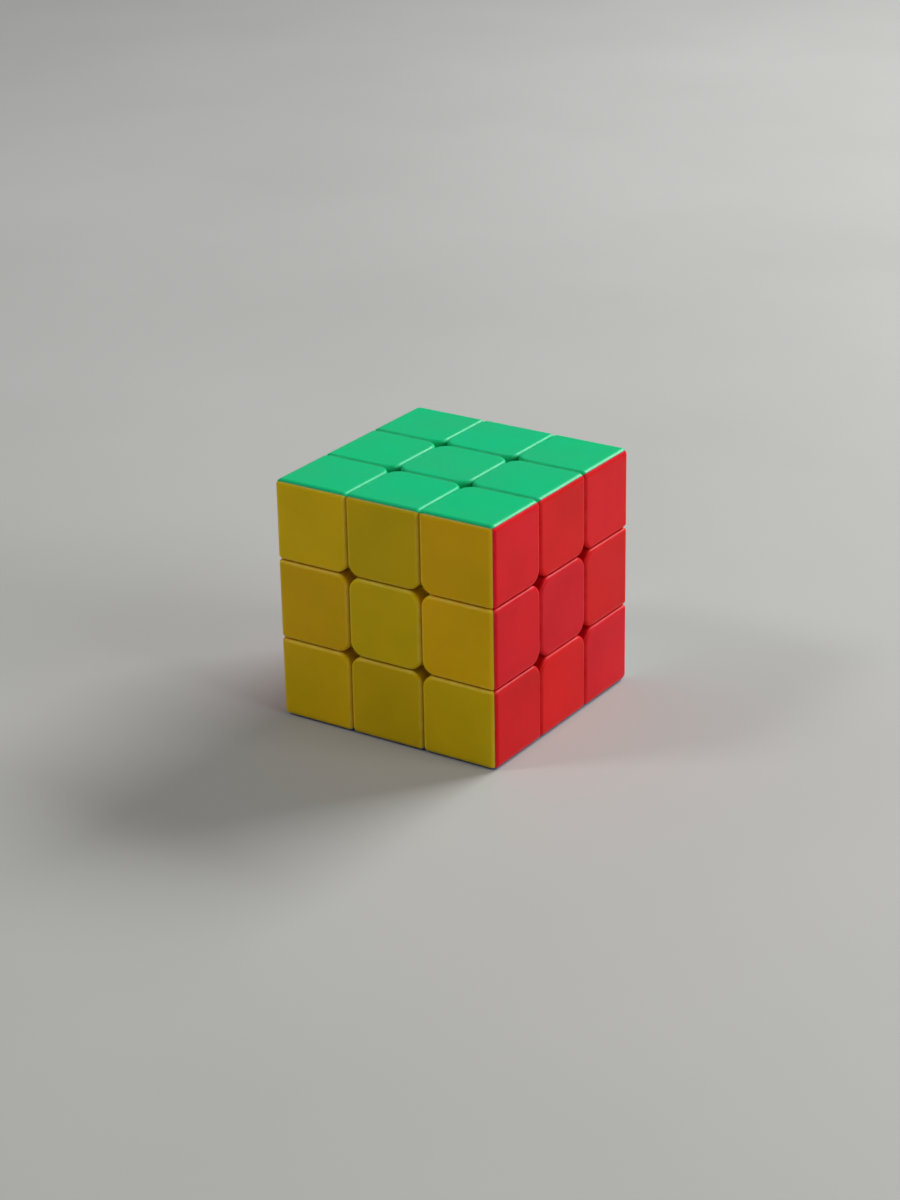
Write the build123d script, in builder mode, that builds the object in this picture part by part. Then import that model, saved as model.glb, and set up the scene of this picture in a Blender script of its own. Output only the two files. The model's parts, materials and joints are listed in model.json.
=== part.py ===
"""A sprung 3x3x3 twist cube with plastic blocks in the colour of their faces.

Millimetres. +Z is up and the origin is the centre of the bottom face. The front
face looks along -Y and the right face along +X.

Every block is drawn once about the centre of the core, in its place on the top face
(+Z), and is then turned into its other places. All surfaces on which a layer turns are
either planes square to an axis or spheres about the core, so that any face can turn.
"""

import os

from build123d import *

# Overall size
SIDE = 56.0
HALF = SIDE / 2
GAP = 0.22  # between neighbouring blocks

# Planes that divide the outer blocks, and those that divide the feet inside
OUTER_CUT = SIDE / 6
INNER_CUT = 5.2
NEAR = OUTER_CUT + GAP / 2  # inner side of a corner or edge block
SLIM = OUTER_CUT - GAP / 2  # half the width of a centre or edge block
FOOT_NEAR = INNER_CUT + GAP / 2
FOOT_SLIM = INNER_CUT - GAP / 2

# Spheres about the core
BLOCK_SPHERE = 20.6  # underside of the outer blocks
FLOOR_SPHERE = 22.0  # top of their floors
FOOT_OUTER = 20.3
FOOT_INNER = 14.5

# Blocks
FACE_WALL = 1.5
SIDE_WALL = 1.2
FOOT_WALL = 1.2
INNER_ROUND = 3.1  # corners of a tile that look at the centre of its face
CENTRE_ROUND = 3.4
TILE_DEPTH = 3.4  # further down the blocks fill out the openings between four tiles
BODY_ROUND = 0.35  # corners of the blocks below that
TILE_EDGE = 0.85  # rounding of a block beside a gap
CUBE_EDGE = 1.5  # rounding along the outside of the cube
SEAM = 0.06  # between two shells of one block
OVERLAP = 1.0  # how far a joined or cutting shape reaches past the surface it meets
FOOT_EDGE = 0.5

# Corner stalk
STALK_RADIUS = 2.2
STALK_HOLE_RADIUS = STALK_RADIUS + SEAM
STALK_HEAD_RADIUS = 3.4
STALK_HEAD_START = 24.6
CORNER_FOOT_RADIUS = 9.2

# Edge neck
NECK_HALF_WIDTH = 4.4
NECK_INSET = 0.4

# Centre block
CAP_SEAM_HEIGHT = 23.0
CAP_SKIRT = 2.2
PLUG_DEPTH = 1.3
STEM_RADIUS = 4.9
STEM_BOTTOM = 14.2
SHELF_TOP = 15.8
CUP_RADIUS = 3.7
CUP_TOP = 25.9
SCREW_CLEARANCE_RADIUS = 1.75

# Core and fixings
BALL_RADIUS = 8.5
ARM_RADIUS = 3.9
ARM_TOP = 14.0
ARM_ROUND = 1.0
SCREW_RADIUS = 1.5
SCREW_TIP = 5.5
SCREW_POINT = 0.6
SCREW_SEAT = 23.3
SCREW_HEAD_RADIUS = 3.0
SCREW_HEAD_HEIGHT = 2.0
SCREW_HEAD_ROUND = 0.8
RECESS_LENGTH = 3.6
RECESS_WIDTH = 0.8
RECESS_DEPTH = 1.2
WASHER_RADIUS = 3.5
WASHER_HOLE_RADIUS = 1.65
WASHER_THICKNESS = 0.5
SPRING_RADIUS = 2.75
WIRE_RADIUS = 0.3
SPRING_TURNS = 5.25
SPRING_END_GAP = 0.03

ALL_MIN = (Align.MIN, Align.MIN, Align.MIN)
ON_BASE = (Align.CENTER, Align.CENTER, Align.MIN)
DIAGONAL = (1, 1, 1)
NEAR_ENOUGH = 0.1  # between the directions of a turned piece and of its place


def along_diagonal(distance):
    """A plane across the body diagonal of the corner block, this far from the core."""
    step = distance / 3**0.5
    return Plane(origin=(step, step, step), z_dir=DIAGONAL)


def beside_corner_gap(edge):
    """True for an outer edge of the corner block that runs beside a gap."""
    centre = edge.center()
    reach = (centre.X, centre.Y, centre.Z)
    return max(reach) > HALF - CUBE_EDGE / 2 and min(reach) < NEAR + INNER_ROUND


def beside_edge_gap(edge):
    """True for an outer edge of the edge block that runs beside a gap."""
    centre = edge.center()
    reach = (centre.Y, centre.Z)
    at_end = abs(centre.X) > SLIM - INNER_ROUND
    return max(reach) > HALF - CUBE_EDGE / 2 and (at_end or min(reach) < NEAR + INNER_ROUND)


# ---------------------------------------------------------------------------
# Corner block: one shell (its part of the top face) and the foot
# ---------------------------------------------------------------------------

with BuildPart() as corner_hollow:
    hollow_near = NEAR + SIDE_WALL
    hollow_size = HALF - FACE_WALL - hollow_near
    with Locations((hollow_near, hollow_near, hollow_near)):
        Box(hollow_size, hollow_size, hollow_size, align=ALL_MIN)
    fillet(corner_hollow.edges().sort_by_distance((0, 0, 0))[:3], radius=INNER_ROUND - SIDE_WALL)
    Sphere(radius=FLOOR_SPHERE, mode=Mode.SUBTRACT)

with BuildPart() as corner_body:
    body_size = HALF - TILE_DEPTH - NEAR
    with Locations((NEAR, NEAR, NEAR)):
        Box(body_size, body_size, body_size, align=ALL_MIN)
    fillet(corner_body.edges().sort_by_distance((0, 0, 0))[:3], radius=BODY_ROUND)

with BuildPart() as corner_shell:
    block_size = HALF - NEAR
    with Locations((NEAR, NEAR, NEAR)):
        Box(block_size, block_size, block_size, align=ALL_MIN)
    fillet(corner_shell.edges().sort_by_distance((0, 0, 0))[:3], radius=INNER_ROUND)
    fillet(corner_shell.edges().sort_by_distance((0, 0, 0))[-3:], radius=CUBE_EDGE)
    fillet(corner_shell.edges().filter_by(beside_corner_gap), radius=TILE_EDGE)
    add(corner_body.part)
    Sphere(radius=BLOCK_SPHERE, mode=Mode.SUBTRACT)
    add(corner_hollow.part, mode=Mode.SUBTRACT)
    with Locations(along_diagonal(0)):
        Cylinder(STALK_HOLE_RADIUS, STALK_HEAD_START, align=ON_BASE, mode=Mode.SUBTRACT)
    # Mitre against the shells of the two side faces
    split(bisect_by=Plane(origin=(0, 0, SEAM / 2**0.5), z_dir=(-1, 0, 1)), keep=Keep.TOP)
    split(bisect_by=Plane(origin=(0, 0, SEAM / 2**0.5), z_dir=(0, -1, 1)), keep=Keep.TOP)

with BuildPart() as corner_foot:
    with Locations((FOOT_NEAR, FOOT_NEAR, FOOT_NEAR)):
        Box(FOOT_OUTER, FOOT_OUTER, FOOT_OUTER, align=ALL_MIN)
    Sphere(radius=FOOT_OUTER, mode=Mode.INTERSECT)
    with Locations(along_diagonal(0)):
        Cylinder(CORNER_FOOT_RADIUS, SIDE, align=ON_BASE, mode=Mode.INTERSECT)
    Sphere(radius=FOOT_INNER, mode=Mode.SUBTRACT)
    fillet(corner_foot.edges(), radius=FOOT_EDGE)
    stalk_start = FOOT_OUTER - OVERLAP
    with Locations(along_diagonal(stalk_start)):
        Cylinder(STALK_RADIUS, STALK_HEAD_START - stalk_start, align=ON_BASE)
    with Locations(along_diagonal(STALK_HEAD_START)):
        Cylinder(STALK_HEAD_RADIUS, SIDE, align=ON_BASE)
    # The head of the stalk ends on the inner faces of the three shells
    head_limit = HALF - FACE_WALL - SEAM
    Box(head_limit, head_limit, head_limit, align=ALL_MIN, mode=Mode.INTERSECT)

# ---------------------------------------------------------------------------
# Edge block: the half that carries its tile of the top face, over +Y
# ---------------------------------------------------------------------------

with BuildPart() as edge_hollow:
    edge_hollow_width = 2 * (SLIM - SIDE_WALL)
    with Locations((0, hollow_near, hollow_near)):
        Box(edge_hollow_width, hollow_size, hollow_size, align=(Align.CENTER, Align.MIN, Align.MIN))
    fillet(edge_hollow.edges().sort_by_distance((0, 0, 0))[:5], radius=INNER_ROUND - SIDE_WALL)
    Sphere(radius=FLOOR_SPHERE, mode=Mode.SUBTRACT)

with BuildPart() as edge_foot:
    with Locations((0, FOOT_NEAR, FOOT_NEAR)):
        Box(2 * FOOT_SLIM, FOOT_OUTER, FOOT_OUTER, align=(Align.CENTER, Align.MIN, Align.MIN))
    Sphere(radius=FOOT_OUTER, mode=Mode.INTERSECT)
    Sphere(radius=FOOT_INNER, mode=Mode.SUBTRACT)
    fillet(edge_foot.edges(), radius=FOOT_EDGE)

with BuildPart() as edge_neck:
    neck_near = NEAR + NECK_INSET
    with Locations((0, neck_near, neck_near)):
        Box(2 * NECK_HALF_WIDTH, HALF, HALF, align=(Align.CENTER, Align.MIN, Align.MIN))
    Sphere(radius=(BLOCK_SPHERE + FLOOR_SPHERE) / 2, mode=Mode.INTERSECT)
    Sphere(radius=(FOOT_INNER + FOOT_OUTER) / 2, mode=Mode.SUBTRACT)

# The halves are hollow from the foot to the block
with BuildPart() as edge_foot_hollow:
    foot_hollow_near = FOOT_NEAR + FOOT_WALL
    with Locations((0, foot_hollow_near, foot_hollow_near)):
        Box(
            2 * (FOOT_SLIM - FOOT_WALL),
            FOOT_OUTER,
            FOOT_OUTER,
            align=(Align.CENTER, Align.MIN, Align.MIN),
        )
    Sphere(radius=FOOT_OUTER - FOOT_WALL, mode=Mode.INTERSECT)
    Sphere(radius=FOOT_INNER + FOOT_WALL, mode=Mode.SUBTRACT)

with BuildPart() as edge_neck_hollow:
    neck_hollow_near = neck_near + FOOT_WALL
    with Locations((0, neck_hollow_near, neck_hollow_near)):
        Box(
            2 * (NECK_HALF_WIDTH - FOOT_WALL),
            HALF,
            HALF,
            align=(Align.CENTER, Align.MIN, Align.MIN),
        )
    Sphere(radius=FLOOR_SPHERE + OVERLAP, mode=Mode.INTERSECT)
    Sphere(radius=(FOOT_INNER + FOOT_OUTER) / 2, mode=Mode.SUBTRACT)

with BuildPart() as edge_body:
    with Locations((0, NEAR, NEAR)):
        Box(2 * SLIM, body_size, body_size, align=(Align.CENTER, Align.MIN, Align.MIN))
    fillet(edge_body.edges().sort_by_distance((0, 0, 0))[:5], radius=BODY_ROUND)

with BuildPart() as edge_half:
    with Locations((0, NEAR, NEAR)):
        Box(2 * SLIM, block_size, block_size, align=(Align.CENTER, Align.MIN, Align.MIN))
    fillet(edge_half.edges().sort_by_distance((0, 0, 0))[:5], radius=INNER_ROUND)
    fillet(edge_half.edges().sort_by_distance((0, 0, 0))[-1], radius=CUBE_EDGE)
    fillet(edge_half.edges().filter_by(beside_edge_gap), radius=TILE_EDGE)
    add(edge_body.part)
    Sphere(radius=BLOCK_SPHERE, mode=Mode.SUBTRACT)
    add(edge_hollow.part, mode=Mode.SUBTRACT)
    add(edge_foot.part)
    add(edge_neck.part)
    add(edge_foot_hollow.part, mode=Mode.SUBTRACT)
    add(edge_neck_hollow.part, mode=Mode.SUBTRACT)
    # Mitre against the half of the side face
    split(bisect_by=Plane(origin=(0, 0, SEAM / 2**0.5), z_dir=(0, -1, 1)), keep=Keep.TOP)

# ---------------------------------------------------------------------------
# Centre block of the top face
# ---------------------------------------------------------------------------

with BuildPart() as centre_body:
    with BuildSketch(Plane.XY):
        RectangleRounded(2 * SLIM, 2 * SLIM, BODY_ROUND)
    extrude(amount=CAP_SEAM_HEIGHT)
    Sphere(radius=BLOCK_SPHERE, mode=Mode.SUBTRACT)

with BuildPart() as centre_hollow:
    with BuildSketch(Plane.XY):
        RectangleRounded(2 * (SLIM - SIDE_WALL), 2 * (SLIM - SIDE_WALL), CENTRE_ROUND - SIDE_WALL)
    extrude(amount=HALF)
    Sphere(radius=FLOOR_SPHERE, mode=Mode.SUBTRACT)

with centre_body:
    add(centre_hollow.part, mode=Mode.SUBTRACT)
    with Locations((0, 0, STEM_BOTTOM)):
        Cylinder(STEM_RADIUS, CUP_TOP - STEM_BOTTOM, align=ON_BASE)
    with Locations((0, 0, SHELF_TOP)):
        Cylinder(CUP_RADIUS, HALF, align=ON_BASE, mode=Mode.SUBTRACT)
    Cylinder(SCREW_CLEARANCE_RADIUS, HALF, align=ON_BASE, mode=Mode.SUBTRACT)

with BuildPart() as centre_cap:
    with BuildSketch(Plane.XY.offset(CAP_SEAM_HEIGHT + SEAM)):
        RectangleRounded(2 * SLIM, 2 * SLIM, CENTRE_ROUND)
    extrude(amount=HALF - CAP_SEAM_HEIGHT - SEAM)
    fillet(centre_cap.faces().sort_by(Axis.Z)[-1].edges(), radius=TILE_EDGE)
    with BuildSketch(Plane.XY.offset(CAP_SEAM_HEIGHT + SEAM)):
        RectangleRounded(2 * SLIM, 2 * SLIM, BODY_ROUND)
    extrude(amount=HALF - TILE_DEPTH - CAP_SEAM_HEIGHT - SEAM)
    # Plug that clips inside the walls of the body
    plug_half = SLIM - SIDE_WALL - SEAM
    with BuildSketch(Plane.XY.offset(CAP_SEAM_HEIGHT - PLUG_DEPTH)):
        RectangleRounded(2 * plug_half, 2 * plug_half, CENTRE_ROUND - SIDE_WALL)
    extrude(amount=PLUG_DEPTH + OVERLAP)
    cap_inner_half = SLIM - CAP_SKIRT
    with BuildSketch(Plane.XY.offset(CAP_SEAM_HEIGHT - PLUG_DEPTH)):
        RectangleRounded(2 * cap_inner_half, 2 * cap_inner_half, CENTRE_ROUND - CAP_SKIRT)
    extrude(amount=HALF - FACE_WALL - CAP_SEAM_HEIGHT + PLUG_DEPTH, mode=Mode.SUBTRACT)

# ---------------------------------------------------------------------------
# Fixings of the top centre block, and the core
# ---------------------------------------------------------------------------

with BuildPart() as screw:
    with Locations((0, 0, SCREW_TIP)):
        Cylinder(SCREW_RADIUS, SCREW_SEAT - SCREW_TIP, align=ON_BASE)
    chamfer(screw.edges().sort_by(Axis.Z)[0], length=SCREW_POINT)
    with Locations((0, 0, SCREW_SEAT)):
        Cylinder(SCREW_HEAD_RADIUS, SCREW_HEAD_HEIGHT, align=ON_BASE)
    fillet(screw.edges().sort_by(Axis.Z)[-1], radius=SCREW_HEAD_ROUND)
    with BuildSketch(Plane.XY.offset(SCREW_SEAT + SCREW_HEAD_HEIGHT - RECESS_DEPTH)):
        Rectangle(RECESS_LENGTH, RECESS_WIDTH)
        Rectangle(RECESS_WIDTH, RECESS_LENGTH)
    extrude(amount=RECESS_DEPTH, mode=Mode.SUBTRACT)

with BuildPart() as washer:
    with Locations((0, 0, SCREW_SEAT - WASHER_THICKNESS)):
        Cylinder(WASHER_RADIUS, WASHER_THICKNESS, align=ON_BASE)
        Cylinder(WASHER_HOLE_RADIUS, WASHER_THICKNESS, align=ON_BASE, mode=Mode.SUBTRACT)

with BuildPart() as spring:
    coil_start = SHELF_TOP + SPRING_END_GAP + WIRE_RADIUS
    coil_end = SCREW_SEAT - WASHER_THICKNESS - SPRING_END_GAP - WIRE_RADIUS
    coil_height = coil_end - coil_start
    with BuildLine() as coil:
        Helix(
            pitch=coil_height / SPRING_TURNS,
            height=coil_height,
            radius=SPRING_RADIUS,
            center=(0, 0, coil_start),
        )
    with BuildSketch(Plane(origin=coil.line @ 0, z_dir=coil.line % 0)):
        Circle(WIRE_RADIUS)
    sweep(path=coil.line, is_frenet=True)

FACE_TURNS = {
    "top": Rotation(0, 0, 0),
    "bottom": Rotation(180, 0, 0),
    "front": Rotation(90, 0, 0),
    "right": Rotation(0, 90, 0),
    "back": Rotation(-90, 0, 0),
    "left": Rotation(0, -90, 0),
}
SIDE_FACES = ["front", "right", "back", "left"]

with BuildPart() as core_ball:
    Sphere(radius=BALL_RADIUS)
    with Locations(*FACE_TURNS.values()):
        Cylinder(ARM_RADIUS, ARM_TOP, align=ON_BASE)
    arm_roots = core_ball.edges().group_by(lambda edge: round(edge.center().length, 1))[0]
    fillet(arm_roots, radius=ARM_ROUND)
    with Locations(*FACE_TURNS.values()):
        with Locations((0, 0, SCREW_TIP)):
            Cylinder(SCREW_RADIUS, ARM_TOP, align=ON_BASE, mode=Mode.SUBTRACT)

# ---------------------------------------------------------------------------
# Places: which way each block is turned
# ---------------------------------------------------------------------------

LIFT = Location((0, 0, HALF))  # puts the bottom face on z = 0
DIRECTIONS = {
    "top": Vector(0, 0, 1),
    "bottom": Vector(0, 0, -1),
    "front": Vector(0, -1, 0),
    "right": Vector(1, 0, 0),
    "back": Vector(0, 1, 0),
    "left": Vector(-1, 0, 0),
}
COLOURS = {
    "top": "green",
    "bottom": "blue",
    "front": "yellow",
    "right": "red",
    "back": "white",
    "left": "orange",
}
CORNER_SIDES = [("front", "right"), ("right", "back"), ("back", "left"), ("left", "front")]


def place(pattern_point, face, neighbours=()):
    """Where a top-face pattern piece goes, so that it lies on `face` between `neighbours`.

    The pattern is turned about its face until its own point has come to the wanted place.
    """
    target = DIRECTIONS[face]
    for neighbour in neighbours:
        target = target + DIRECTIONS[neighbour]
    for quarter in range(4):
        turn = FACE_TURNS[face] * Rotation(0, 0, 90 * quarter)
        reached = (turn * Location(pattern_point)).position
        if (reached - target).length < NEAR_ENOUGH:
            return LIFT * turn
    raise ValueError(f"no turn brings the piece to {face} {neighbours}")


def corner_place(face, neighbours):
    return place((1, 1, 1), face, neighbours)


def edge_place(face, neighbour):
    return place((0, 1, 1), face, (neighbour,))


def centre_place(face):
    return place((0, 0, 1), face)


def save(name, pattern, places):
    """Put the pattern piece in every place and write the node."""
    with BuildPart() as node:
        with Locations(*places):
            add(pattern.part)
    node.part.label = name
    export_step(node.part, f"parts/{name}.step")


os.makedirs("parts", exist_ok=True)

# Core, screws and what stays with them
save("core", core_ball, [LIFT])
save("centre_screws", screw, [centre_place(face) for face in FACE_TURNS])
save("side_washers", washer, [centre_place(face) for face in SIDE_FACES])
for layer in ("top", "bottom"):
    save(f"{layer}_washer", washer, [centre_place(layer)])
for face in FACE_TURNS:
    save(f"{face}_spring", spring, [centre_place(face)])

# Centre blocks
for face in FACE_TURNS:
    save(f"{face}_centre_cap", centre_cap, [centre_place(face)])
    save(f"{face}_centre_body", centre_body, [centre_place(face)])

# Edge blocks of the middle layer, by colour
for number, face in enumerate(SIDE_FACES):
    sides = (SIDE_FACES[number - 1], SIDE_FACES[(number + 1) % 4])
    save(
        f"middle_edge_halves_{COLOURS[face]}",
        edge_half,
        [edge_place(face, side) for side in sides],
    )

# Edge and corner blocks of the top and bottom layers
for layer in ("top", "bottom"):
    colour = COLOURS[layer]
    save(
        f"{layer}_edge_halves_{colour}",
        edge_half,
        [edge_place(layer, side) for side in SIDE_FACES],
    )
    for side in SIDE_FACES:
        save(f"{layer}_{side}_edge_half_{COLOURS[side]}", edge_half, [edge_place(side, layer)])

    save(
        f"{layer}_corner_feet",
        corner_foot,
        [corner_place(layer, sides) for sides in CORNER_SIDES],
    )
    save(
        f"{layer}_corner_shells_{colour}",
        corner_shell,
        [corner_place(layer, sides) for sides in CORNER_SIDES],
    )
    for sides in CORNER_SIDES:
        for side in sides:
            other = sides[0] if side == sides[1] else sides[1]
            save(
                f"{layer}_{sides[0]}_{sides[1]}_corner_shell_{COLOURS[side]}",
                corner_shell,
                [corner_place(side, (layer, other))],
            )
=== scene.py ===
"""The looks of the sprung 3x3x3 twist cube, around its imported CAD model.

Metres, +Z up, the origin at the centre of the bottom face. The front (yellow) face
looks along -Y and the right (red) face along +X.
"""

import json
import math

import bmesh
import bpy
from mathutils import Matrix, Vector


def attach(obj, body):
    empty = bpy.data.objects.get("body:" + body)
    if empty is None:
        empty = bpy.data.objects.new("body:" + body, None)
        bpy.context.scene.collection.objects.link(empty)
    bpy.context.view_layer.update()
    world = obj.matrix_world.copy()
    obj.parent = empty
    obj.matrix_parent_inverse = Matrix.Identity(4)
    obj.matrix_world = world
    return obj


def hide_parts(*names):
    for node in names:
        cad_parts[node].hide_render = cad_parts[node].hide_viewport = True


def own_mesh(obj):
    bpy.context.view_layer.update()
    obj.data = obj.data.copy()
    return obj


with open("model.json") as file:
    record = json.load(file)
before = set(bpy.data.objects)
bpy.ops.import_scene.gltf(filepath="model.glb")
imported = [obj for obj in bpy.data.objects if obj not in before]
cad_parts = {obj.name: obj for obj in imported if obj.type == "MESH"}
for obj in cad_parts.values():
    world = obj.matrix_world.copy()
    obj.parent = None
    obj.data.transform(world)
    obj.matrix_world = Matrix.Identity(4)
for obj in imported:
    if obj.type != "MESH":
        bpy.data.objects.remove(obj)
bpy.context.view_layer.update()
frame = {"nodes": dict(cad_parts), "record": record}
nodes = frame["nodes"]

MM = 0.001
SIDE = 56 * MM
BLOCKS_IN_ROW = 3
BLOCK = SIDE / BLOCKS_IN_ROW
CUBE_CENTRE = Vector((0, 0, SIDE / 2))
EDGE_BAND = 0.95 * MM  # how far from its edges a block is made pale, by rubbing and painted highlight, gap included
EDGE_CREST = 0.30 * MM
JUST_INSIDE = 0.9999  # keeps the outer faces clear of the limits of the grid of blocks

# ---------------------------------------------------------------------------
# Small helpers for node materials
# ---------------------------------------------------------------------------

# Sockets of a colour mix, whose names are shared with the other kinds of mix
MIX_AMOUNT, MIX_FIRST, MIX_SECOND = 0, 6, 7
MIX_RESULT = 2
WHOLE = (0.0, 1.0)


class Shade:
    """A node material that is built up line by line."""

    def __init__(self, name):
        self.material = bpy.data.materials.new(name)
        self.material.use_nodes = True
        self.tree = self.material.node_tree
        self.tree.nodes.clear()
        self.output = self.add("ShaderNodeOutputMaterial")
        self.shader = self.add("ShaderNodeBsdfPrincipled")
        self.link(self.shader.outputs["BSDF"], self.output.inputs["Surface"])

    def add(self, kind, **settings):
        node = self.tree.nodes.new(kind)
        for key, value in settings.items():
            setattr(node, key, value)
        return node

    def link(self, source, target):
        self.tree.links.new(source, target)

    def feed(self, value, target):
        """Set a socket to a plain value, or link the output of another node to it."""
        if isinstance(value, (int, float, tuple)):
            target.default_value = value
        else:
            self.link(value, target)

    def vary(self, name, value):
        """A value that changes over the surface."""
        self.link(value, self.shader.inputs[name])

    def fixed(self, name, value):
        """A value that is the same all over the surface."""
        self.shader.inputs[name].default_value = value

    def coordinates(self):
        return self.add("ShaderNodeTexCoord").outputs["Object"]

    def shifted(self, vector, seed, steps):
        """Coordinates moved to another part of the noise for each seed."""
        node = self.add("ShaderNodeMapping")
        node.inputs["Location"].default_value = [seed * step for step in steps]
        self.link(vector, node.inputs["Vector"])
        return node.outputs["Vector"]

    def stretched(self, vector, scale, turn=(0, 0, 0)):
        node = self.add("ShaderNodeMapping")
        node.inputs["Scale"].default_value = scale
        node.inputs["Rotation"].default_value = turn
        self.link(vector, node.inputs["Vector"])
        return node.outputs["Vector"]

    def noise(self, vector, per_metre, detail=3.0, roughness=0.5):
        node = self.add("ShaderNodeTexNoise")
        node.inputs["Scale"].default_value = per_metre
        node.inputs["Detail"].default_value = detail
        node.inputs["Roughness"].default_value = roughness
        self.link(vector, node.inputs["Vector"])
        return node.outputs["Fac"]

    def remap(self, value, spread, levels):
        """Stretch the values inside spread over levels, and hold the ones outside."""
        node = self.add("ShaderNodeMapRange")
        node.inputs["From Min"].default_value, node.inputs["From Max"].default_value = spread
        node.inputs["To Min"].default_value, node.inputs["To Max"].default_value = levels
        self.link(value, node.inputs["Value"])
        return node.outputs["Result"]

    def pattern(self, vector, per_metre, spread, levels=WHOLE, detail=3.0, roughness=0.5):
        """Noise of which only the values inside spread count."""
        return self.remap(self.noise(vector, per_metre, detail, roughness), spread, levels)

    def maths(self, operation, first, second):
        node = self.add("ShaderNodeMath", operation=operation)
        self.feed(first, node.inputs[0])
        self.feed(second, node.inputs[1])
        return node.outputs["Value"]

    def vector_maths(self, operation, *values):
        node = self.add("ShaderNodeVectorMath", operation=operation)
        for value, socket in zip(values, node.inputs):
            self.feed(value, socket)
        return node.outputs["Vector"]

    def mix(self, amount, first, second):
        node = self.add("ShaderNodeMix", data_type="RGBA")
        self.feed(amount, node.inputs[MIX_AMOUNT])
        self.feed(first, node.inputs[MIX_FIRST])
        self.feed(second, node.inputs[MIX_SECOND])
        return node.outputs[MIX_RESULT]

    def bump(self, height, strength, distance, under=None):
        node = self.add("ShaderNodeBump")
        node.inputs["Strength"].default_value = strength
        node.inputs["Distance"].default_value = distance
        self.link(height, node.inputs["Height"])
        if under is not None:
            self.link(under, node.inputs["Normal"])
        return node.outputs["Normal"]


def rgba(red, green, blue):
    return (red, green, blue, 1.0)


# ---------------------------------------------------------------------------
# Materials
# ---------------------------------------------------------------------------

HALF_ROW = BLOCKS_IN_ROW / 2
HALF_BLOCK = 0.5  # in blocks
SAME_HUE = 0.5  # the hue setting that leaves a colour as it is
EDGE_DULLING = 0.03
YELLOW_TINT_ROW = 20712  # chosen because its tints fall on the tiles much as on the real cube


def in_its_block(s, here):
    """Where a point is in the grid of blocks: (block number as a vector, closeness to an edge).

    Closeness to an edge is 0 inside a face of a block and 1 where two of its faces meet.
    """
    first_block = (HALF_ROW, HALF_ROW, HALF_ROW - JUST_INSIDE * CUBE_CENTRE.z / BLOCK)
    grid = s.vector_maths("MULTIPLY_ADD", here, (JUST_INSIDE / BLOCK,) * 3, first_block)
    number = s.vector_maths("FLOOR", grid)
    inside = s.vector_maths("SUBTRACT", grid, number)
    from_middle = s.vector_maths("SUBTRACT", inside, (HALF_BLOCK,) * 3)
    split = s.add("ShaderNodeSeparateXYZ")
    s.link(s.vector_maths("ABSOLUTE", from_middle), split.inputs["Vector"])
    x, y, z = split.outputs
    lower = s.maths("MINIMUM", x, y)
    upper = s.maths("MAXIMUM", x, y)
    second = s.maths("MAXIMUM", lower, s.maths("MINIMUM", upper, z))
    band = (HALF_BLOCK - EDGE_BAND / BLOCK, HALF_BLOCK - EDGE_CREST / BLOCK)
    return number, s.remap(second, band, WHOLE)


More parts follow.
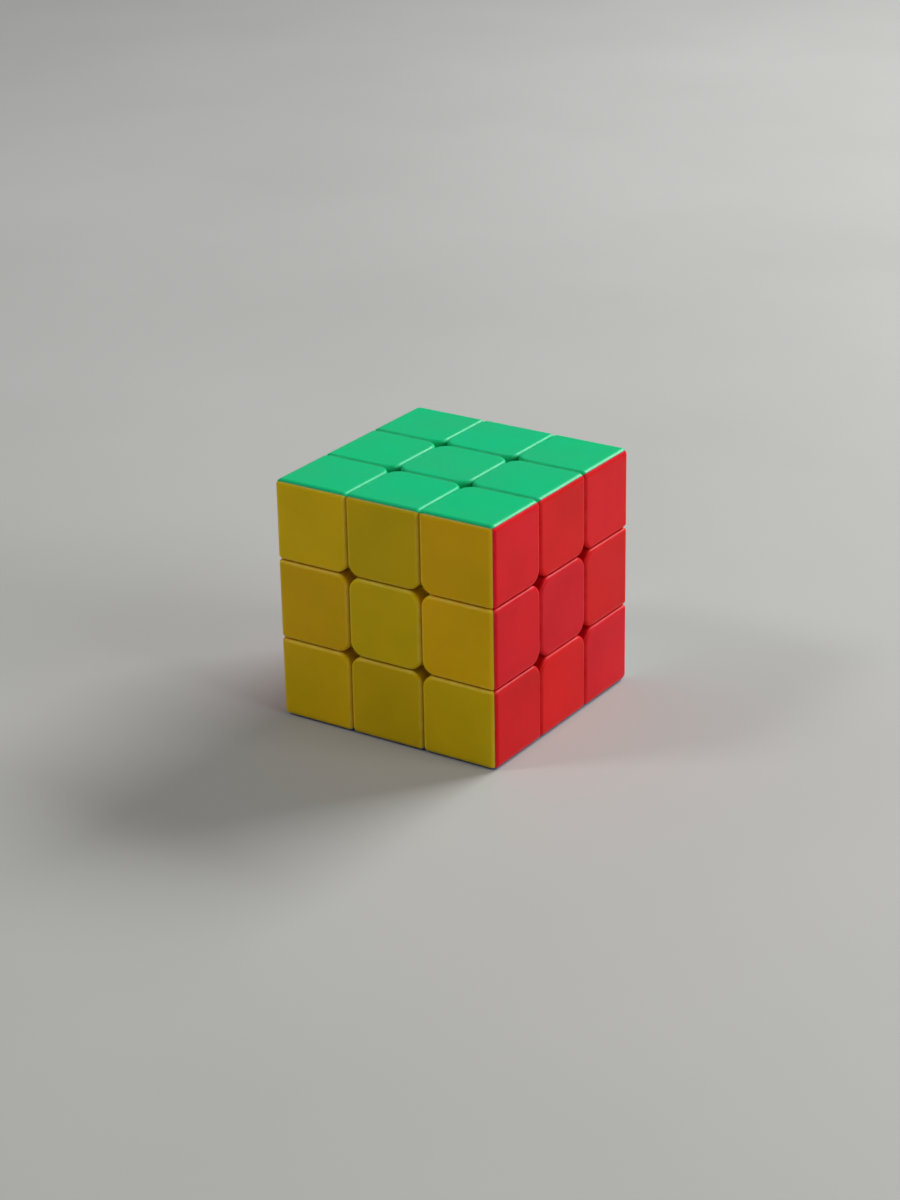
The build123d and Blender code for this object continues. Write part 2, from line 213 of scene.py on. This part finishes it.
def block_plastic(name, colour, shade, scuff_and_edge_highlight, seed, tile_tint=0.04, tile_hue=0.004, tint_row=0):
    """Moulded ABS coloured right through: even, slightly soft gloss, with handling marks,
    and edges made pale, partly as rubbing and partly as painted highlight.

    shade is the colour in thicker, duller patches; scuff the colour of the pale edges,
    partly rubbing and partly painted highlight, and of the marks; tile_tint and tile_hue
    how much blocks differ in brightness and in hue, and shot the row of random numbers
    from which they take it.
    """
    s = Shade(name)
    here = s.coordinates()
    place = s.shifted(here, seed, steps=(0.37, 0.11, 0.23))
    block, edge = in_its_block(s, here)

    # Broad, soft colour drift through the moulding
    drift = s.pattern(place, per_metre=60, spread=(0.35, 0.65), detail=2.0)
    body = s.mix(drift, colour, shade)

    # Each block is set a little brighter or darker and a little off in hue, from a row of random
    # numbers
    pick = s.add("ShaderNodeTexWhiteNoise", noise_dimensions="3D")
    s.link(s.vector_maths("ADD", block, (tint_row, 0.0, 0.0)), pick.inputs["Vector"])
    level = s.remap(pick.outputs["Value"], WHOLE, (1.0 - tile_tint, 1.0 + tile_tint))
    channels = s.add("ShaderNodeSeparateColor")
    s.link(pick.outputs["Color"], channels.inputs["Color"])
    hue = s.remap(channels.outputs["Green"], WHOLE, (SAME_HUE - tile_hue, SAME_HUE + tile_hue))
    tone = s.add("ShaderNodeHueSaturation")
    s.link(body, tone.inputs["Color"])
    s.link(level, tone.inputs["Value"])
    s.link(hue, tone.inputs["Hue"])

    # Edges made pale, partly rubbed by turning and partly a painted highlight along them; and a few
    # fine specks from handling
    edge_rub_and_highlight = s.pattern(place, per_metre=420, spread=(0.30, 0.70), levels=(0.10, 0.40))
    speck = s.pattern(place, per_metre=2300, spread=(0.68, 0.82), roughness=0.6)
    patch = s.pattern(place, per_metre=150, spread=(0.50, 0.75), levels=(0.0, 0.26), detail=2.0)
    # worn holds the pale edges, partly rubbing and partly painted highlight, and the handling
    # specks
    worn = s.maths("MAXIMUM", s.maths("MULTIPLY", edge, edge_rub_and_highlight), s.maths("MULTIPLY", speck, patch))
    s.vary("Base Color", s.mix(worn, tone.outputs["Color"], scuff_and_edge_highlight))

    # Gloss: smeared a little by fingers, duller where it is rubbed
    smeared = s.stretched(place, scale=(1.0, 1.0, 0.45), turn=(0.4, 0.7, 0.2))
    gloss = s.pattern(smeared, per_metre=150, spread=(0.30, 0.70), levels=(0.29, 0.38))
    s.vary("Roughness", s.maths("ADD", gloss, s.maths("MULTIPLY", edge, EDGE_DULLING)))

    # Faint sinking of the moulded face and the fine grain of the mould
    sinking = s.noise(place, per_metre=90, detail=1.0)
    grain = s.noise(place, per_metre=3200, detail=2.0)
    sunken = s.bump(sinking, strength=0.10, distance=0.20 * MM)
    s.vary("Normal", s.bump(grain, strength=0.16, distance=0.008 * MM, under=sunken))

    s.fixed("Subsurface Weight", 0.80)
    s.fixed("Subsurface Radius", (1.0, 0.7, 0.5))
    s.fixed("Subsurface Scale", 1.2 * MM)
    s.fixed("IOR", 1.50)
    s.fixed("Specular IOR Level", 0.11)
    return s.material


def dull_plastic(name, colour, worn, seed):
    """Uncoloured inner plastic: satin, polished in streaks where the feet slide. The feet are given
    it as painted light: its pale colour lightens the holes between the blocks.
    """
    s = Shade(name)
    place = s.shifted(s.coordinates(), seed, steps=(0.19, 0.31, 0.07))
    along = s.stretched(place, scale=(0.4, 0.4, 6.0))
    streak = s.pattern(along, per_metre=260, spread=(0.45, 0.70), detail=4.0)
    cloud = s.pattern(place, per_metre=160, spread=(0.3, 0.7))
    s.vary("Base Color", s.mix(s.maths("MULTIPLY", streak, cloud), colour, worn))
    s.vary("Roughness", s.remap(streak, WHOLE, (0.55, 0.34)))
    grain = s.noise(place, per_metre=1800)
    s.vary("Normal", s.bump(grain, strength=0.35, distance=0.02 * MM))
    s.fixed("IOR", 1.52)
    return s.material


def steel(name, colour, stain, lines, seed):
    """Bright steel with drawing or turning lines and a little dull staining.

    lines says how closely the lines lie along each axis.
    """
    s = Shade(name)
    place = s.shifted(s.coordinates(), seed, steps=(0.29, 0.13, 0.17))
    cloud = s.pattern(place, per_metre=420, spread=(0.40, 0.75), detail=4.0)
    s.vary("Base Color", s.mix(cloud, colour, stain))
    line = s.noise(s.stretched(place, scale=lines), per_metre=1400)
    s.vary("Roughness", s.remap(line, (0.3, 0.7), (0.20, 0.38)))
    s.vary("Normal", s.bump(line, strength=0.30, distance=0.01 * MM))
    s.fixed("Metallic", 1.0)
    return s.material


SLOT_MATERIALS = {
    "green_plastic": block_plastic(
        "green ABS",
        colour=rgba(0.001, 0.505, 0.190),
        shade=rgba(0.009, 0.475, 0.183),
        scuff_and_edge_highlight=rgba(0.04, 0.70, 0.42),
        seed=1,
    ),
    "yellow_plastic": block_plastic(
        "yellow ABS",
        colour=rgba(0.78, 0.50, 0.003),
        shade=rgba(0.70, 0.47, 0.002),
        scuff_and_edge_highlight=rgba(0.95, 0.80, 0.18),
        seed=2,
        tile_tint=0.15,
        tile_hue=0.0125,
        tint_row=YELLOW_TINT_ROW,
    ),
    "red_plastic": block_plastic(
        "red ABS",
        colour=rgba(0.62, 0.003, 0.009),
        shade=rgba(0.55, 0.002, 0.007),
        scuff_and_edge_highlight=rgba(0.80, 0.07, 0.08),
        seed=3,
        tile_tint=0.05,
        tile_hue=0.002,
    ),
    "white_plastic": block_plastic(
        "white ABS",
        colour=rgba(0.70, 0.70, 0.67),
        shade=rgba(0.66, 0.66, 0.63),
        scuff_and_edge_highlight=rgba(0.60, 0.59, 0.56),
        seed=4,
        tile_tint=0.02,
    ),
    "orange_plastic": block_plastic(
        "orange ABS",
        colour=rgba(0.88, 0.17, 0.006),
        shade=rgba(0.82, 0.145, 0.005),
        scuff_and_edge_highlight=rgba(0.95, 0.33, 0.09),
        seed=5,
    ),
    "blue_plastic": block_plastic(
        "blue ABS",
        colour=rgba(0.005, 0.075, 0.46),
        shade=rgba(0.004, 0.062, 0.41),
        scuff_and_edge_highlight=rgba(0.09, 0.20, 0.60),
        seed=6,
    ),
    # Pale feet are painted light: where they show at the bottom of the holes between blocks, they
    # make the holes look lighter
    "foot_plastic": dull_plastic(
        "foot plastic made pale to lighten the holes",
        colour=rgba(0.66, 0.64, 0.58),
        worn=rgba(0.74, 0.72, 0.67),
        seed=7,
    ),
    "core_plastic": dull_plastic(
        "natural nylon",
        colour=rgba(0.66, 0.64, 0.60),
        worn=rgba(0.74, 0.73, 0.70),
        seed=8,
    ),
    "screw_steel": steel(
        "zinc-plated steel",
        colour=rgba(0.60, 0.58, 0.54),
        stain=rgba(0.42, 0.41, 0.38),
        lines=(1.0, 1.0, 5.0),
        seed=9,
    ),
    "washer_steel": steel(
        "stamped steel",
        colour=rgba(0.62, 0.62, 0.61),
        stain=rgba(0.46, 0.45, 0.43),
        lines=(3.0, 1.0, 1.0),
        seed=10,
    ),
    "spring_steel": steel(
        "drawn spring wire",
        colour=rgba(0.52, 0.52, 0.53),
        stain=rgba(0.34, 0.33, 0.32),
        lines=(1.0, 1.0, 4.0),
        seed=11,
    ),
}


def dress(target, slot_name):
    target.data.materials.clear()
    target.data.materials.append(SLOT_MATERIALS[slot_name])


for part in frame["record"]["subparts"]:
    dress(nodes[part["node"]], part["material_slot"])

# ---------------------------------------------------------------------------
# Coil springs, carried by the spindle of their layer or by the core frame
# ---------------------------------------------------------------------------

WIRE_RADIUS = 0.29 * MM
COIL_RADIUS = 2.75 * MM
WIRE_SIDES = 12
STEPS_PER_TURN = 40
FREE_TURNS = 4.25
END_TURNS = 1.0  # closed turn at each end
ALL_TURNS = FREE_TURNS + 2 * END_TURNS
END_PITCH = 2.1 * WIRE_RADIUS
TURN_NEARBY = 0.01  # how far ahead and behind the direction of the wire is taken


def coil_height(turn, start, end):
    """How high the wire's centre line is after so many turns between two heights."""
    if turn < END_TURNS:
        return start + turn * END_PITCH
    if turn > ALL_TURNS - END_TURNS:
        return end - (ALL_TURNS - turn) * END_PITCH
    open_rise = end - start - 2 * END_TURNS * END_PITCH
    return start + END_TURNS * END_PITCH + (turn - END_TURNS) / FREE_TURNS * open_rise


def spring_mesh(name, low, high):
    """A wire coil along +Z between two heights, with a closed turn at each end."""
    start = low + WIRE_RADIUS
    end = high - WIRE_RADIUS

    def point(turn):
        angle = 2 * math.pi * turn
        across = COIL_RADIUS * math.cos(angle)
        along = COIL_RADIUS * math.sin(angle)
        return Vector((across, along, coil_height(turn, start, end)))

    steps = round(ALL_TURNS * STEPS_PER_TURN)
    mesh = bmesh.new()
    rings = []
    for step in range(steps + 1):
        turn = ALL_TURNS * step / steps
        centre = point(turn)
        ahead = point(min(ALL_TURNS, turn + TURN_NEARBY)) - point(max(0.0, turn - TURN_NEARBY))
        ahead.normalize()
        across = ahead.cross(Vector((centre.x, centre.y, 0)).normalized()).normalized()
        outward = across.cross(ahead).normalized()
        ring = []
        for side in range(WIRE_SIDES):
            angle = 2 * math.pi * side / WIRE_SIDES
            spoke = outward * math.cos(angle) + across * math.sin(angle)
            ring.append(mesh.verts.new(centre + spoke * WIRE_RADIUS))
        rings.append(ring)
    for ring, following in zip(rings, rings[1:]):
        for side in range(WIRE_SIDES):
            after = (side + 1) % WIRE_SIDES
            wall = mesh.faces.new((ring[side], ring[after], following[after], following[side]))
            wall.smooth = True
    mesh.faces.new(rings[0])
    mesh.faces.new(list(reversed(rings[-1])))
    bmesh.ops.recalc_face_normals(mesh, faces=mesh.faces)
    data = bpy.data.meshes.new(name)
    mesh.to_mesh(data)
    mesh.free()
    made = bpy.data.objects.new(name, data)
    bpy.context.scene.collection.objects.link(made)
    return made


UPWARD = Vector((0, 0, 1))
FACE_AXES = {
    "top": UPWARD,
    "bottom": Vector((0, 0, -1)),
    "front": Vector((0, -1, 0)),
    "right": Vector((1, 0, 0)),
    "back": Vector((0, 1, 0)),
    "left": Vector((-1, 0, 0)),
}
SHELF_TOP = 15.8 * MM  # from the centre of the cube, like the next
WASHER_UNDER = 22.8 * MM
CLEAR = 0.02 * MM

for face, axis in FACE_AXES.items():
    coil = spring_mesh(f"{face}_coil_spring", SHELF_TOP + CLEAR, WASHER_UNDER - CLEAR)
    outward_turn = UPWARD.rotation_difference(axis).to_matrix().to_4x4()
    coil.data.transform(Matrix.Translation(CUBE_CENTRE) @ outward_turn)
    dress(coil, "spring_steel")
    layer = face in ("top", "bottom")
    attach(coil, f"{face}_spindle" if layer else "core_frame")
    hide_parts(f"{face}_spring")
    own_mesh(coil)

# ---------------------------------------------------------------------------
# Floor, light and camera
# ---------------------------------------------------------------------------

FLOOR_DROP = 0.02 * MM
FLOOR_REACH = 3.0
FLOOR_COLOUR = rgba(0.42, 0.415, 0.40)
FLOOR_CLOUD = rgba(0.45, 0.445, 0.43)
SKY_COLOUR = rgba(0.86, 0.89, 0.93)
SKY_STRENGTH = 0.17


def floor_material():
    s = Shade("pale matt floor")
    cloud = s.pattern(s.coordinates(), per_metre=6, spread=(0.3, 0.7), detail=4.0)
    s.vary("Base Color", s.mix(cloud, FLOOR_COLOUR, FLOOR_CLOUD))
    s.vary("Roughness", s.remap(cloud, WHOLE, (0.62, 0.72)))
    return s.material


floor_corners = [
    (x * FLOOR_REACH, y * FLOOR_REACH, -FLOOR_DROP) for x, y in ((-1, -1), (1, -1), (1, 1), (-1, 1))
]
floor_data = bpy.data.meshes.new("floor")
floor_data.from_pydata(floor_corners, [], [(0, 1, 2, 3)])
floor = bpy.data.objects.new("floor", floor_data)
floor.data.materials.append(floor_material())
bpy.context.scene.collection.objects.link(floor)

world = bpy.data.worlds.new("studio")
world.use_nodes = True
sky = world.node_tree.nodes["Background"]
sky.inputs["Color"].default_value = SKY_COLOUR
sky.inputs["Strength"].default_value = SKY_STRENGTH
bpy.context.scene.world = world


def soft_light(name, place, size, power, colour):
    """A soft light that looks at the cube: metres, from the cube's centre, and watts."""
    data = bpy.data.lights.new(name, "AREA")
    data.shape = "RECTANGLE"
    data.size, data.size_y = size
    data.energy = power
    data.color = colour
    light = bpy.data.objects.new(name, data)
    light.location = CUBE_CENTRE + Vector(place)
    light.rotation_euler = (-Vector(place)).to_track_quat("-Z", "Y").to_euler()
    bpy.context.scene.collection.objects.link(light)


COOL_WHITE = (0.98, 1.0, 0.99)
WARM_WHITE = (1.0, 0.99, 0.97)
soft_light("key light", (0.346, 1.025, 0.789), size=(0.80, 0.36), power=18.7, colour=COOL_WHITE)
soft_light("front light", (-0.68, -0.66, 0.93), size=(0.25, 0.25), power=3.7, colour=WARM_WHITE)
soft_light("side light", (1.30, 0.05, 0.60), size=(0.80, 0.80), power=8.3, colour=WARM_WHITE)

# Camera: the direction and distance of the photograph. It looks a little past the centre
# of the cube, which puts the cube a little above and to the right of the picture's middle.
AZIMUTH = math.radians(33.64)
ELEVATION = math.radians(23.16)
ROLL = math.radians(-1.06)
DISTANCE = 616.8 * MM
ASIDE = 1.19 * MM
BELOW = 4.15 * MM
FOCAL_MM = 83.45
SENSOR_MM = 36.0
NEAREST_SEEN = 10 * MM

back = Vector(
    (
        math.sin(AZIMUTH) * math.cos(ELEVATION),
        -math.cos(AZIMUTH) * math.cos(ELEVATION),
        math.sin(ELEVATION),
    )
)
level_right = Vector((math.cos(AZIMUTH), math.sin(AZIMUTH), 0))
level_up = back.cross(level_right)
right = math.cos(ROLL) * level_right + math.sin(ROLL) * level_up
up = -math.sin(ROLL) * level_right + math.cos(ROLL) * level_up

camera_data = bpy.data.cameras.new("camera")
camera_data.lens = FOCAL_MM
camera_data.sensor_width = SENSOR_MM
camera_data.clip_start = NEAREST_SEEN
camera = bpy.data.objects.new("camera", camera_data)
camera_place = CUBE_CENTRE + back * DISTANCE - right * ASIDE - up * BELOW
camera_turn = Matrix((right, up, back)).transposed().to_4x4()
camera.matrix_world = Matrix.Translation(camera_place) @ camera_turn
bpy.context.scene.collection.objects.link(camera)
bpy.context.scene.camera = camera

bpy.context.scene.view_settings.view_transform = "Standard"
